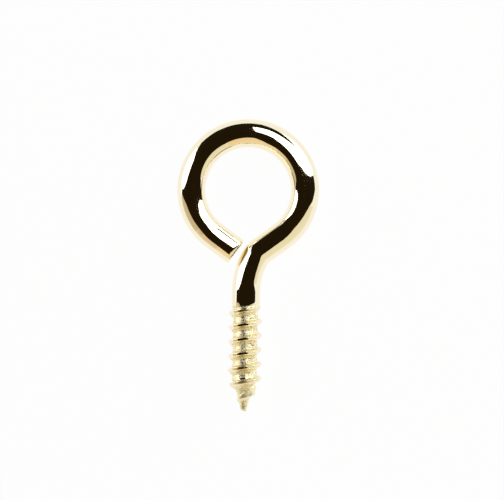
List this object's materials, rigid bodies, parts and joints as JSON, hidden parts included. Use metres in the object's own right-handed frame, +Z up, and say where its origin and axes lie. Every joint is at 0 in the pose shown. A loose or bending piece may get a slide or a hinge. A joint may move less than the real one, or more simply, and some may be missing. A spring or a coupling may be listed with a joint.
{
  "type": "screw eye",
  "caption": "Screw eye bent from one round wire: an open eye, an offset neck and a pointed wood-screw shank.",
  "frame": {"origin": "centre of the bounding box's footprint, on the surface that the part lies on", "axes": "the part lies on its side: +Y runs from the point to the eye, +Z is up, and +X is on the side of the neck"},
  "size_m": [0.0146, 0.03, 0.0036],
  "materials": {
    "plated_wire": "polished"
  },
  "bodies": {
    "root": {"screw_eye": "plated_wire"}
  },
  "joints": []
}
